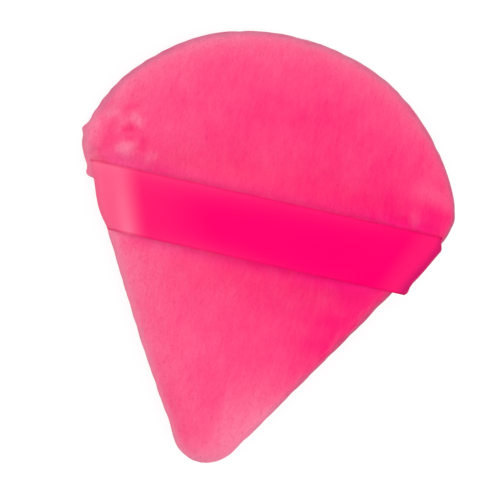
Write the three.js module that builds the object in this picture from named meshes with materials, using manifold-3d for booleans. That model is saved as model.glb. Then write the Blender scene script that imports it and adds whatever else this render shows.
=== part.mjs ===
import * as THREE from 'three';
import Module from 'manifold-3d';

// A powder puff: two velour covers sewn together round a sponge, with a satin ribbon for the fingers
// whose ends are caught in the side seams. Millimetres, +Z up, +Y from the tip to the round edge.
// The origin is on the resting face, under the middle of the puff.

// The seam's outline
const puffLength = 80;
const roundEdgeRadius = 37.5;
const cornerRadius = 10;
const tipRadius = 6.2;
const sideAngle = THREE.MathUtils.degToRad(31.6);

// The stuffed pad
const padHeight = 14;
const restingCut = 0.5;
const crownPower = 5;
const crownCentreShare = 0.06;
const rimShare = 0.95;
const seamDraw = 0.8;
const drawnHeight = 2.2;

// The velour and its turned-in seam allowance
const velour = 1.2;
const allowanceDepth = 4.5;
const allowanceThickness = 0.9;
const foldGap = 0.3;
const spongeGap = 0.3;

// The dimple that closing by hand leaves beside the ribbon's left end
const dimpleDepth = 0.9;
const dimpleRadius = 7;
const dimpleInset = 6.5;

// The ribbon
const ribbonWidth = 12;
const ribbonThickness = 0.4;
const ribbonMiddle = 4.2;
const ribbonTab = 4;
const ribbonRoom = 0.25;
const fingerHeight = 5.4;
const fingerPress = 5;
const ribbonRaise = 2.5;
const archPower = 2.6;
const ribbonBulge = 0.7;
const shoulderInset = 4.8;
const shoulderLift = 1;

// The threads
const threadWidth = 0.25;
const threadRoom = 0.15;
const threadRest = 0.1;
const stitchPitch = 3.4;
const stitchInset = 2;
const turningGap = 25;
const gapMargin = 0.8;
const closingPitch = 2.8;
const closingProud = 0.3;

// How finely the forms are divided
const tipSteps = 8;
const sideSteps = 9;
const cornerSteps = 4;
const roundEdgeSteps = 22;
const outerSteps = 9;
const innerSteps = 5;
const ribbonColumns = 4;
const ribbonSteps = 3;
const archShares = [0.75, 0.5, 0.25];

const wasm = await Module();
wasm.setup();

// Heights above the seam, which the model is built on and then lifted from
const padHalf = padHeight / 2;
const allowanceBottom = foldGap / 2;
const allowanceTop = allowanceBottom + allowanceThickness;
const seamHeight = padHalf - restingCut;
const ribbonUnder = padHalf + fingerHeight;

function direction(angle) {
  return new THREE.Vector2(Math.cos(angle), Math.sin(angle));
}

// The centre of each corner's arc is tangent to the straight side and to the round edge.
const tipCentre = new THREE.Vector2(0, tipRadius - puffLength / 2);
const roundEdgeCentre = new THREE.Vector2(0, puffLength / 2 - roundEdgeRadius);
const sideNormal = direction(-sideAngle);
const sideAlong = direction(Math.PI / 2 - sideAngle);
const cornerCentre = findCornerCentre();
const cornerAngle = cornerCentre.clone().sub(roundEdgeCentre).angle();

function findCornerCentre() {
  const start = tipCentre.clone().addScaledVector(sideNormal, tipRadius - cornerRadius);
  const away = start.clone().sub(roundEdgeCentre);
  const back = away.dot(sideAlong);
  const reach = roundEdgeRadius - cornerRadius;
  return start.addScaledVector(sideAlong, Math.sqrt(back ** 2 - away.lengthSq() + reach ** 2) - back);
}

// The outline, inset evenly, anticlockwise from the top of the left corner.
function outlineCurves(inset) {
  const leftCorner = new THREE.Vector2(-cornerCentre.x, cornerCentre.y);
  const arc = (centre, radius, from, to) =>
    new THREE.EllipseCurve(centre.x, centre.y, radius - inset, radius - inset, from, to);
  const left = arc(leftCorner, cornerRadius, Math.PI - cornerAngle, Math.PI + sideAngle);
  const tip = arc(tipCentre, tipRadius, Math.PI + sideAngle, 2 * Math.PI - sideAngle);
  const right = arc(cornerCentre, cornerRadius, -sideAngle, cornerAngle);
  const round = arc(roundEdgeCentre, roundEdgeRadius, cornerAngle, Math.PI - cornerAngle);
  const leftSide = new THREE.LineCurve(left.getPoint(1), tip.getPoint(0));
  const rightSide = new THREE.LineCurve(tip.getPoint(1), right.getPoint(0));
  return [left, leftSide, tip, rightSide, right, round];
}

const curveSteps = [cornerSteps, sideSteps, tipSteps, sideSteps, cornerSteps, roundEdgeSteps];
const outline = outlineCurves(0).flatMap((curve, index) =>
  Array.from({ length: curveSteps[index] }, (_, step) => {
    const along = curve.getTangent(step / curveSteps[index]);
    return { point: curve.getPoint(step / curveSteps[index]), out: new THREE.Vector2(along.y, -along.x) };
  }));

// Half the outline's width at a height on the page, for the ribbon's ends.
function halfWidthAt(y) {
  const cornerStart = cornerCentre.y + cornerRadius * sideNormal.y;
  if (y > cornerStart) return cornerCentre.x + Math.sqrt(cornerRadius ** 2 - (y - cornerCentre.y) ** 2);
  return (tipRadius + (y - tipCentre.y) * Math.sin(sideAngle)) / Math.cos(sideAngle);
}

// One closed mesh through rings of equal length; a ring of one point closes an end.
function closedRings(rings) {
  const positions = rings.flat().flatMap((point) => point.toArray());
  const triangles = [];
  const add = (a, b, c) => {
    if (a !== b && b !== c && c !== a) triangles.push(a, b, c);
  };
  let start = 0;
  for (let row = 0; row + 1 < rings.length; row++) {
    const here = rings[row].length;
    const next = rings[row + 1].length;
    const from = (index) => start + (index % here);
    const to = (index) => start + here + (index % next);
    for (let index = 0; index < Math.max(here, next); index++) {
      if (next > 1) add(from(index), to(index), to(index + 1));
      if (here > 1) add(from(index), to(index + 1), from(index + 1));
    }
    start += here;
  }
  const geometry = new THREE.BufferGeometry();
  geometry.setAttribute('position', new THREE.Float32BufferAttribute(positions, 3));
  geometry.setIndex(triangles);
  return geometry;
}

function toSolid(geometry) {
  const vertProperties = geometry.getAttribute('position').array;
  const triVerts = Uint32Array.from(geometry.getIndex().array);
  return new wasm.Manifold(new wasm.Mesh({ numProp: 3, vertProperties, triVerts }));
}

function toGeometry(solid) {
  const { vertProperties, triVerts } = solid.getMesh();
  const geometry = new THREE.BufferGeometry();
  geometry.setAttribute('position', new THREE.Float32BufferAttribute(vertProperties, 3));
  geometry.setIndex(Array.from(triVerts));
  return geometry;
}

// The dimple lies at the left corner, and fades out evenly all round.
const dimpleCentre = new THREE.Vector2(-cornerCentre.x, cornerCentre.y)
  .addScaledVector(direction(Math.PI - cornerAngle), cornerRadius - dimpleInset);

function dimpleAt(x, y) {
  const distance = Math.hypot(x - dimpleCentre.x, y - dimpleCentre.y) / dimpleRadius;
  return distance < 1 ? dimpleDepth * (1 - distance ** 2) ** 2 : 0;
}

// A ring at one height: the outline inset evenly, then led a share of the way to the crown's centre.
const crownCentre = new THREE.Vector2(0, puffLength * crownCentreShare);

function ringAt(inset, share, height) {
  const rim = 2 * share * (1 - share) * rimShare * (tipRadius - inset);
  return outline.map(({ point, out }) => {
    const place = point.clone().addScaledVector(out, -inset).multiplyScalar(1 - share ** 2);
    place.addScaledVector(out, -rim).addScaledVector(crownCentre, share ** 2);
    return new THREE.Vector3(place.x, place.y, height);
  });
}

// The crowned skin from its rim to its middle. The seam draws the rim in, and the dimple presses it.
function crownRings({ inset, low, high, steps, draw = 0, first = 0, last = Math.PI / 2 }) {
  const rings = [];
  for (let step = 0; step < steps; step++) {
    const angle = first + ((last - first) * step) / steps;
    const height = low + (high - low) * Math.sin(angle);
    const drawn = draw * Math.max(0, 1 - height / drawnHeight) ** 2;
    rings.push(ringAt(inset + drawn, 1 - Math.cos(angle) ** (2 / crownPower), height));
  }
  return rings;
}

function middlePoint(height) {
  return [new THREE.Vector3(crownCentre.x, crownCentre.y, height)];
}

function pressDimple(rings, rimHeight) {
  for (const point of rings.flat()) {
    point.z -= point.z > rimHeight ? dimpleAt(point.x, point.y) * (1 - rimHeight / point.z) : 0;
  }
  return rings;
}

function turnOver(rings) {
  for (const point of rings.flat()) point.z = -point.z;
  return rings.reverse();
}

// The folded allowance, from the rim of the outer skin to the rim of the inner one.
function allowanceRings() {
  return [
    ringAt(allowanceDepth, 0, allowanceBottom),
    ringAt(allowanceDepth, 0, allowanceTop),
  ];
}

function innerSkin() {
  const top = padHalf - velour;
  return [...crownRings({ inset: velour, low: allowanceTop, high: top, steps: innerSteps }), middlePoint(top)];
}

const outerSkin = { inset: 0, low: allowanceBottom, high: padHalf, draw: seamDraw };

function upperCover() {
  const outer = crownRings({ ...outerSkin, steps: outerSteps });
  const skin = [middlePoint(padHalf), ...outer.reverse()];
  const rings = [...skin, ...allowanceRings(), ...innerSkin()];
  return closedRings(pressDimple(rings, allowanceTop));
}

// The lower cover is flat where the puff rests.
function lowerCover() {
  const rise = (seamHeight - allowanceBottom) / (padHalf - allowanceBottom);
  const last = Math.asin(rise);
  const outer = crownRings({ ...outerSkin, steps: outerSteps - 1, last });
  const flatRim = ringAt(0, 1 - Math.cos(last) ** (2 / crownPower), seamHeight);
  const skin = [middlePoint(seamHeight), flatRim, ...outer.reverse()];
  return closedRings(turnOver([...skin, ...allowanceRings(), ...innerSkin()]));
}

// The sponge is waisted, so that the allowances and the threads have room.
function spongeCore() {
  const inset = velour + spongeGap;
  const top = padHalf - inset;
  const waist = allowanceTop + threadRest + threadWidth + spongeGap;
  const first = Math.asin((waist - allowanceTop) / (top - allowanceTop));
  const skin = () => crownRings({ inset, low: allowanceTop, high: top, steps: innerSteps, first });
  const half = () => [middlePoint(top), ...skin().reverse(), ringAt(allowanceDepth + spongeGap, 0, waist)];
  return closedRings([...pressDimple(half(), waist), ...turnOver(half())]);
}

// The ribbon leaves one side seam, rounds the pad, arches over the crown and goes back in at the other.
// Its middle line is drawn for each thread of its width, because the sides slant.
function ribbonLine(y, tab) {
  const side = halfWidthAt(y);
  const slant = Math.cos(sideAngle);
  const middle = ribbonUnder + ribbonThickness / 2;
  const shoulder = padHalf + shoulderLift;
  const keys = [
    [-tab, 0], [-tab / 2, 0], [-seamDraw / 2, 0], [ribbonBulge * 0.9, drawnHeight * 0.8],
    [ribbonBulge, padHalf / 2], [-shoulderInset / 5, padHalf * 0.9], [-shoulderInset, shoulder],
  ].map(([out, height]) => new THREE.Vector2(side + out / slant, height));
  const from = keys.at(-1).x;
  const arch = archShares.map((share) =>
    new THREE.Vector2(share * from, middle - (middle - shoulder) * share ** archPower));
  const right = [...keys, ...arch];
  const left = right.map(({ x, y: height }) => new THREE.Vector2(-x, height)).reverse();
  const spline = new THREE.SplineCurve([...right, new THREE.Vector2(0, middle), ...left]);
  return spline.getPoints((spline.points.length - 1) * ribbonSteps);
}

function ribbonSolid(room) {
  const half = ribbonThickness / 2 + room;
  const width = ribbonWidth + 2 * room;
  const columns = Array.from({ length: ribbonColumns + 1 }, (_, column) => {
    const y = ribbonMiddle + width * (column / ribbonColumns - 1 / 2);
    const line = ribbonLine(y, ribbonTab + room);
    return line.map((point, index) => {
      const along = line[Math.min(index + 1, line.length - 1)].clone().sub(line[Math.max(index - 1, 0)]);
      const up = new THREE.Vector2(along.y, -along.x).normalize().multiplyScalar(half);
      return [point.clone().add(up), point.clone().sub(up)].map((at) => new THREE.Vector3(at.x, y, at.y));
    });
  });
  const rings = columns[0].map((_, index) => [
    ...columns.map((column) => column[index][1]),
    ...columns.map((column) => column[index][0]).reverse(),
  ]);
  const centre = (ring) => [ring.reduce((sum, point) => sum.add(point), new THREE.Vector3())
    .divideScalar(ring.length)];
  return toSolid(closedRings([centre(rings[0]), ...rings, centre(rings.at(-1))]));
}

// A thread of square section through the points, mitred at each bend.
function threadAlong(points, width) {
  const first = points[1].clone().sub(points[0]).normalize();
  const side = first.clone().cross(new THREE.Vector3(0, 0, 1)).setLength(width / 2);
  const up = side.clone().cross(first).setLength(width / 2);
  let corners = [[1, 1], [-1, 1], [-1, -1], [1, -1]].map(([across, above]) =>
    points[0].clone().addScaledVector(side, across).addScaledVector(up, above));
  const rings = points.map((point, index) => {
    const into = index > 0 ? point.clone().sub(points[index - 1]).normalize() : first;
    const onward = index + 1 < points.length ? points[index + 1].clone().sub(point).normalize() : into;
    const plane = into.clone().add(onward);
    corners = corners.map((corner) => corner.clone()
      .addScaledVector(into, point.clone().sub(corner).dot(plane) / into.dot(plane)));
    return corners;
  });
  return closedRings([[points[0]], ...rings, [points.at(-1)]]);
}

// A place beside the seam: so far along it, inset from the outline, and above the seam.
const seamCurve = new THREE.CurvePath();
outlineCurves(stitchInset).forEach((curve) => seamCurve.add(curve));
const seamLength = seamCurve.getLength();

function besideSeam(along, inset, height) {
  const share = THREE.MathUtils.euclideanModulo(along, seamLength) / seamLength;
  const point = seamCurve.getPoint(share);
  const tangent = seamCurve.getTangent(share);
  const out = new THREE.Vector2(tangent.y, -tangent.x);
  point.addScaledVector(out, stitchInset - inset);
  return new THREE.Vector3(point.x, point.y, height);
}

// The machine seam starts beside the ribbon's left end and leaves the turning gap open past it.
const gapTop = ribbonMiddle + ribbonWidth / 2 + gapMargin;
const gapAngle = Math.asin((gapTop - cornerCentre.y) / (cornerRadius - stitchInset));
const seamStart = (gapAngle < -sideAngle ? sideAngle + cornerAngle : cornerAngle - gapAngle)
  * (cornerRadius - stitchInset);
const seamRun = seamLength - turningGap;
const stitchCount = Math.round(seamRun / stitchPitch);
const stitches = Array.from({ length: stitchCount }, (_, index) =>
  seamStart + (seamRun * (index + 1 / 2)) / stitchCount);

// Lockstitch: each thread goes through the hole, crosses the other's loop in the middle and comes back.
const loopHalf = threadWidth + threadRoom / Math.SQRT2;
const railHeight = allowanceTop + threadRest + threadWidth / 2;

function lockstitchThread(sideSign) {
  const points = [besideSeam(stitches[0] - stitchPitch / 2, stitchInset, sideSign * railHeight)];
  for (const along of stitches) {
    const down = [along - loopHalf, stitchInset + sideSign * loopHalf];
    const back = [along + loopHalf, stitchInset - sideSign * loopHalf];
    points.push(besideSeam(...down, sideSign * railHeight), besideSeam(...down, -sideSign * loopHalf));
    points.push(besideSeam(...back, -sideSign * loopHalf), besideSeam(...back, sideSign * railHeight));
  }
  points.push(besideSeam(stitches.at(-1) + stitchPitch / 2, stitchInset, sideSign * railHeight));
  return threadAlong(points, threadWidth);
}

function stitchHoles() {
  const size = 2 * (loopHalf + threadWidth / 2 + threadRoom);
  const corners = [[-1, -1], [-1, 1], [1, 1], [1, -1]].map(([a, b]) => [a * size / 2, b * size / 2]);
  const square = (along, height) => corners.map(([ahead, inward]) =>
    besideSeam(along + ahead, stitchInset + inward, height));
  const holes = stitches.map((along) => {
    const rings = [square(along, -railHeight), square(along, railHeight)];
    const ends = [-railHeight, railHeight].map((height) => [besideSeam(along, stitchInset, height)]);
    return toSolid(closedRings([ends[0], ...rings, ends[1]]));
  });
  return wasm.Manifold.union(holes);
}

// The hand sewing winds round the two folds, in through one wall and out through the other.
function closingPoints() {
  const room = gapMargin + threadWidth;
  const turns = Math.floor((turningGap - 2 * room) / closingPitch);
  const first = seamStart - room - turns * closingPitch;
  const points = [];
  for (let turn = 0; turn < turns; turn++) {
    const along = first + turn * closingPitch;
    const across = along + closingPitch / 2;
    points.push(besideSeam(along, -closingProud, railHeight), besideSeam(across, -closingProud, -railHeight));
    points.push(besideSeam(across, stitchInset, -railHeight));
    points.push(besideSeam(along + closingPitch, stitchInset, railHeight));
  }
  const last = first + turns * closingPitch;
  return [besideSeam(first, stitchInset, railHeight), ...points, besideSeam(last, velour / 2, railHeight)];
}

function named(name, geometry, color, roughness) {
  geometry.computeVertexNormals();
  const mesh = new THREE.Mesh(geometry, new THREE.MeshStandardMaterial({ color, roughness, metalness: 0 }));
  mesh.name = name;
  return mesh;
}

const velourPink = 0xfd427c;
const spongeWhite = 0xf3ece2;
const ribbonPink = 0xff036d;
const threadPink = 0xe0206c;

const holes = stitchHoles();
const closing = closingPoints();
const closingHoles = toSolid(threadAlong(closing, threadWidth + 2 * threadRoom));
const ribbonPockets = ribbonSolid(ribbonRoom);
const cutCover = (geometry) =>
  toGeometry(toSolid(geometry).subtract(ribbonPockets).subtract(holes).subtract(closingHoles));

const strap = named('strap', toGeometry(ribbonSolid(0).subtract(holes)), ribbonPink, 0.35);
strap.userData = { pressedTravel: fingerPress, raisedTravel: ribbonRaise };

const puff = new THREE.Group();
puff.add(
  named('upper_cover', cutCover(upperCover()), velourPink, 0.95),
  named('lower_cover', cutCover(lowerCover()), velourPink, 0.95),
  named('sponge_core', spongeCore(), spongeWhite, 0.9),
  named('seam_needle_thread', lockstitchThread(1), threadPink, 0.6),
  named('seam_bobbin_thread', lockstitchThread(-1), threadPink, 0.6),
  named('closing_thread', threadAlong(closing, threadWidth), threadPink, 0.6),
  strap,
);
puff.position.z = seamHeight;

export default puff;
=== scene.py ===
import math
import bmesh
import bpy
import numpy as np
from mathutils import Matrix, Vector, noise


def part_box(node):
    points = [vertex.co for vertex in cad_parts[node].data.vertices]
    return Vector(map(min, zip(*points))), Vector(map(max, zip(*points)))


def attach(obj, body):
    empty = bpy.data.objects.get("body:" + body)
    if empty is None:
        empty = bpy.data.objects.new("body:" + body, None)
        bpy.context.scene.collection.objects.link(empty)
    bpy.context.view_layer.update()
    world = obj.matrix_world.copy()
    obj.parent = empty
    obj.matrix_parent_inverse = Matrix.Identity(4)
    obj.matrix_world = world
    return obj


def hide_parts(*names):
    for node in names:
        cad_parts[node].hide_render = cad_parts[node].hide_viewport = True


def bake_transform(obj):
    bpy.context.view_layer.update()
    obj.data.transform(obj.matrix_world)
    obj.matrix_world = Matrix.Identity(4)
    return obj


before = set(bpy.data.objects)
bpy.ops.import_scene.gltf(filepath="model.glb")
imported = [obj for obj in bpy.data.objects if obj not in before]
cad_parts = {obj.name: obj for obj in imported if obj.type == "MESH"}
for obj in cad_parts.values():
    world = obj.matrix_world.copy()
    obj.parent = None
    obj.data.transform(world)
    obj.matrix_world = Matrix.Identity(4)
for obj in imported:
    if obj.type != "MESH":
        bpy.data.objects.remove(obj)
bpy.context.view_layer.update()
mm = 0.001

# The camera looks down on the puff, leaning a little to the ribbon's left end
photoView = {
    "tilt": 13.2,  # the puff leans clockwise, degrees
    "lean": 4.0,  # from straight down, towards the left end
    "distance": 0.9,
    "lens": 348,
    "aim": (0.0, -0.0005, 0.008),
    "sees": 20,  # how far, in metres
}


def makeCamera():
    lean = math.radians(photoView["lean"])
    aim = Vector(photoView["aim"])
    place = aim + photoView["distance"] * Vector((-math.sin(lean), 0, math.cos(lean)))
    bpy.ops.object.camera_add(location=place)
    camera = bpy.context.object
    camera.data.lens = photoView["lens"]
    turn = (aim - place).to_track_quat("-Z", "Y").to_matrix()
    now = math.atan2(turn.col[0].y, turn.col[1].y)
    camera.rotation_euler = turn.to_euler()
    camera.rotation_euler.rotate_axis("Z", math.radians(photoView["tilt"]) - now)
    camera.data.clip_end = photoView["sees"]
    bpy.context.scene.camera = camera


makeCamera()
print("camera ready")

# Heights from the frame, in millimetres above the seam
upperLow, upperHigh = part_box("upper_cover")
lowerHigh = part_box("lower_cover")[1]
seamZ = (upperLow.z + lowerHigh.z) / 2 / mm
crownZ = upperHigh.z / mm - seamZ
floorZ = -seamZ

# The seam's outline, in millimetres
outlineSizes = {
    "length": 80.0,
    "roundEdgeRadius": 37.5,
    "cornerRadius": 10.0,
    "tipRadius": 6.2,
    "sideAngle": math.radians(31.6),
    "arcSteps": 400,
    "sideSteps": 790,  # the tip's right half, the side and the corner, up to where it turns back
    "wobbles": [(0.024, 5, 1.0), (0.016, 11, 2.2)],  # height, waves round the puff and phase
    "driftBlur": 9,  # over how many degrees the drift's corners are rounded off
}

# How far the sewn outline stands out of its arcs, in millimetres, by bearing in degrees
outlineDrift = {
    0: 0.98, 8: 0.78, 14: 1.0, 17: 1.25, 20: 1.02, 26: 0.67, 33: 0.6, 40: 0.44, 48: 0.38,
    56: 0.43, 64: 0.43, 72: 0.27, 80: 0.19, 90: 0.25, 98: 0.42, 105: 0.58, 113: 0.85, 120: 0.82,
    130: 0.65, 140: 0.67, 147: 0.38, 153: 0.0, 155: 0.0, 157: 0.12, 159: 0.35, 161: 0.4,
    163: 0.33, 165: 0.22, 169: 0.28, 173: 0.3, 178: 0.42, 185: 0.42, 195: 0.56, 205: 0.7,
    215: 0.83, 225: 0.98, 235: 1.06, 245: 1.03, 252: 1.02, 258: 0.86, 261: 0.82, 264: 1.12,
    268: 1.36, 272: 1.15, 275: 0.88, 278: 0.68, 281: 0.8, 285: 0.87, 290: 0.86, 297: 0.9,
    305: 0.98, 315: 1.05, 325: 1.07, 335: 1.08, 345: 1.06, 353: 1.08,
}

# The outline's sharp places: where, how wide and how far out, in millimetres
outlineNudges = [
    ((35.0, 13.7), 1.3, 0.25),
    ((-4.1, -39.1), 1.0, 0.1),
    ((-35.05, 14.6), 0.8, 0.6),
    ((-32.0, 6.8), 1.0, 1.0),
    ((-30.7, 5.0), 2.4, -0.8),
]

tiny = 1e-9  # below this two lengths are the same


def unit(angle):
    return np.array([math.cos(angle), math.sin(angle)])


def outlineTable(sizes):
    # The seam's outline, anticlockwise from the tip: places, directions out, lengths along it
    angle = sizes["sideAngle"]
    tip = np.array([0, sizes["tipRadius"] - sizes["length"] / 2])
    edge = np.array([0, sizes["length"] / 2 - sizes["roundEdgeRadius"]])
    out, along = unit(-angle), unit(math.pi / 2 - angle)
    start = tip + out * (sizes["tipRadius"] - sizes["cornerRadius"])
    away = start - edge
    back = away @ along
    reach = sizes["roundEdgeRadius"] - sizes["cornerRadius"]
    corner = start + along * (math.sqrt(back**2 - away @ away + reach**2) - back)
    cornerAngle = math.atan2(*(corner - edge)[::-1])
    mirror = corner * np.array([-1, 1])
    arcs = [
        (tip, sizes["tipRadius"], -math.pi / 2, -angle),
        (corner, sizes["cornerRadius"], -angle, cornerAngle),
        (edge, sizes["roundEdgeRadius"], cornerAngle, math.pi - cornerAngle),
        (mirror, sizes["cornerRadius"], math.pi - cornerAngle, math.pi + angle),
        (tip, sizes["tipRadius"], math.pi + angle, 1.5 * math.pi),
    ]
    places, angles = [], []
    for centre, radius, first, last in arcs:
        for turn in np.linspace(first, last, sizes["arcSteps"]):
            places.append(centre + radius * unit(turn))
            angles.append(turn)
    places, angles = np.array(places), np.array(angles)
    steps = np.linalg.norm(np.diff(places, axis=0), axis=1)
    lengths = np.concatenate([[0], np.cumsum(steps)])
    keep = np.concatenate([[True], np.diff(lengths) > tiny])
    rising = np.arange(len(places)) < sizes["sideSteps"]
    return {
        "places": places[keep],
        "angles": angles[keep],
        "lengths": lengths[keep],
        "total": lengths[-1],
        "side": places[keep & rising],
    }


outline = outlineTable(outlineSizes)


def bearingOf(x, y):
    # The direction from the puff's middle, in degrees anticlockwise from the right
    return np.degrees(np.arctan2(y, x)) % 360


def listedAt(bearings, table):
    # A table's values at these bearings; it closes on its own start
    return np.interp(bearings % 360, *zip(*sorted(table.items()), (360, table[0])))


def driftAt(x, y):
    # The drift at these places, with the table's corners rounded off
    blur = outlineSizes["driftBlur"]
    turns = np.arange(-blur, 361 + blur)
    soft = np.hanning(blur) / np.hanning(blur).sum()
    rounded = np.convolve(listedAt(turns, outlineDrift), soft, "same")
    return np.interp(bearingOf(x, y), turns, rounded)


def alongOutline(lengths):
    # Places and directions out at these lengths from the tip
    at = np.mod(lengths, outline["total"])
    x = np.interp(at, outline["lengths"], outline["places"][:, 0])
    y = np.interp(at, outline["lengths"], outline["places"][:, 1])
    turn = np.interp(at, outline["lengths"], outline["angles"])
    out = np.stack([np.cos(turn), np.sin(turn)], axis=-1)
    nudge = driftAt(x, y)
    for (atX, atY), width, height in outlineNudges:
        nudge += height * np.exp(-(((x - atX) ** 2 + (y - atY) ** 2) / width**2))
    turned = 2 * math.pi * at / outline["total"]
    for height, waves, phase in outlineSizes["wobbles"]:
        nudge += height * np.sin(waves * turned + phase)
    return np.stack([x, y], axis=-1) + out * nudge[..., None], out


def halfWidthAt(y):
    # Half the outline's width at the ribbon's ends
    return float(np.interp(y, outline["side"][:, 1], outline["side"][:, 0]))


def lengthNear(x, y):
    # How far along the outline its nearest place to this one is
    away = np.hypot(*(outline["places"] - [x, y]).T)
    return float(outline["lengths"][np.argmin(away)])


def smoothStep(value):
    # From 0 to 1, easing in and out
    value = np.clip(value, 0, 1)
    return value * value * (3 - 2 * value)


seedSteps = (17.3, 5.1, 9.7)  # how far apart two seeds look at the noise


def noiseField(points, size, seed):
    # Soft noise at each point, its features about this many millimetres across
    shift = Vector([seed * step for step in seedSteps])
    values = [noise.noise(Vector(point) / size + shift) for point in points.reshape(-1, 3)]
    return np.array(values).reshape(points.shape[:-1])


def meshFromRings(name, rings, scale=mm):
    # One closed mesh through the rings; a ring of one point closes an end
    faces = []
    start = 0
    for ring, following in zip(rings, rings[1:]):
        here, there = len(ring), len(following)
        for index in range(max(here, there)):
            corners = [start + index % here, start + here + index % there,
                       start + here + (index + 1) % there, start + (index + 1) % here]
            faces.append(list(dict.fromkeys(corners)))
        start += here
    points = np.concatenate(rings) * scale
    mesh = bpy.data.meshes.new(name)
    mesh.from_pydata(points.tolist(), [], faces)
    shell = bmesh.new()
    shell.from_mesh(mesh)
    bmesh.ops.recalc_face_normals(shell, faces=shell.faces)
    shell.to_mesh(mesh)
    shell.free()
    mesh.polygons.foreach_set("use_smooth", [True] * len(mesh.polygons))
    mesh.update()
    piece = bpy.data.objects.new(name, mesh)
    bpy.context.collection.objects.link(piece)
    return piece


def fromSeam(rings):
    # Heights from the seam become heights above the floor
    return [ring + np.array([0, 0, seamZ]) for ring in rings]


def addAttribute(piece, name, values):
    attribute = piece.data.attributes.new(name, "FLOAT", "POINT")
    attribute.data.foreach_set("value", np.asarray(values, np.float32))


# The velour covers, in millimetres
coverSizes = {
    "around": 480,
    "outerRings": 64,
    "crownRings": 14,
    "innerRings": 24,
    "crownPower": 5.0,  # how square the side's curve is
    "crownCentre": 0.06,  # where the top's rings close, as a share of the length
    "rimShare": 0.95,
    "seamDraw": 1.0,  # how far the seam draws the rim in
    "drawnHeight": 2.4,
    "velour": 1.2,
    "allowanceDepth": 4.5,
    "allowanceThickness": 0.9,
    "foldGap": 0.06,
    "lump": 0.2,
    "lumpSize": 13.0,
    "smallLump": 0.05,
    "smallLumpSize": 4.0,
    "lumpFade": 3,  # the lumps fade towards the seam by this power
    "unevenSize": 6.0,  # the gathers and puckers change over this length
    "gather": 0.05,
    "gatherPitch": 3.4,
    "gatherUneven": 3.0,
    "gatherArch": (3.2, 1.6),  # how soon they end up the side, and how fast they fade
}

clothSizes = {
    "around": 160,
    "rings": 22,
    "enlarge": 10,  # the cloth settles at ten times its size
    "unevenness": 0.05,  # it starts this uneven, in millimetres
    "unevenSize": 5.0,
    "pressure": 4.0,
    "extra": 0.008,  # how much longer the cloth is than its pattern
    "grip": 0.3,  # how strongly the foam holds it
    "quality": 6,
    "mass": 0.3,
    "stiffness": 20,
    "bending": 2.0,
    "frames": 20,
    "seamRings": 8,  # over these it comes free of the seam
    "furthest": 0.12,  # how far it may move, in millimetres
}

# Hollows and ridges of the upper cover: from, to, half width and height, in millimetres
coverFolds = [
    ((-30.8, 12.2), (-30.4, 16.0), 1.5, -0.5),
    ((-34.0, 12.0), (-33.6, 16.0), 0.8, 0.35),
    ((-33.4, 10.0), (-30.6, 5.0), 2.0, -1.1),
    ((-30.2, 9.4), (-27.4, 3.4), 1.8, -0.4),
    ((-33.0, 10.6), (-31.8, 10.9), 0.7, -0.2),
    ((-29.3, 15.6), (-28.8, 17.2), 0.9, 0.4),
    ((-26.9, 12.2), (-26.4, 13.4), 1.2, 0.65),
    ((-26.8, 14.3), (-26.5, 14.4), 0.6, -0.45),
    ((-27.8, 15.9), (-26.9, 16.5), 0.75, -0.45),
    ((-26.8, 18.6), (-25.8, 17.8), 1.0, 0.6),
    ((-24.2, 13.2), (-24.0, 14.4), 0.8, -0.35),
    ((-32.4, 17.6), (-32.0, 19.0), 0.7, -0.35),
    ((-28.4, 12.2), (-28.0, 13.0), 0.7, 0.4),
    ((-33.4, 19.4), (-31.6, 20.2), 1.1, -0.4),
    ((-31.4, 18.0), (-30.4, 18.6), 0.9, 0.4),
    ((-28.2, 20.0), (-26.6, 20.8), 0.9, -0.4),
    ((-22.6, 11.2), (-22.0, 12.4), 0.8, 0.3),
    ((26.4, 10.9), (24.8, 11.2), 0.6, -0.3),
    ((31.2, 10.9), (29.8, 11.1), 0.5, -0.2),
    ((28.4, 11.6), (27.6, 12.6), 0.8, 0.22),
    ((33.6, 16.4), (29.0, 17.6), 2.0, 0.2),
    ((-24.6, -4.6), (-20.0, -3.4), 1.6, -0.3),
    ((24.6, -4.8), (20.4, -3.6), 1.6, -0.25),
    ((-2.6, -36.4), (-1.4, -30.0), 1.2, -0.15),
    ((2.8, -36.0), (2.2, -29.0), 1.2, 0.15),
]

# The gap that is closed by hand, in millimetres
closingSizes = {
    "from": lengthNear(-21.7, 32.5),
    "to": lengthNear(-35.0, 11.5),
    "pitch": 2.8,
    "margin": 1.05,  # from each end of the gap to the stitches
    "pucker": 0.08,
    "puckerUneven": 2.5,
    "puckerArch": (2.2, 0.9),
    "puckerFade": 6,  # the puckers fade over this part of the gap at each end
    "thread": 0.25,
    "threadSides": 8,
    "stepsPerStitch": 18,
    "bite": 0.495,  # how far in from the folds the stitches go
    "proud": 0.45,
    "height": 1.01,
    "inside": -0.4,  # past this much of a turn the thread is in the cloth
    "insideShare": 0.9,  # and that much flatter
}

# Where the ribbon crosses the upper cover, in millimetres
ribbonLine = {
    "middle": 3.5,
    "width": 12.0,
    "slope": 0.012,
    "flatFrom": -3.4,  # the cover has no ridges from here
    "flatTo": 11.0,  # to here
    "flatFade": 1.2,
    "reach": 1.9,  # how far beside it the painted shade tint reaches
    "reachUnder": 0.8,
    "shadeTintHeight": 4.0,  # the painted shade tint starts at this height, and is full at twice of it
}


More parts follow.
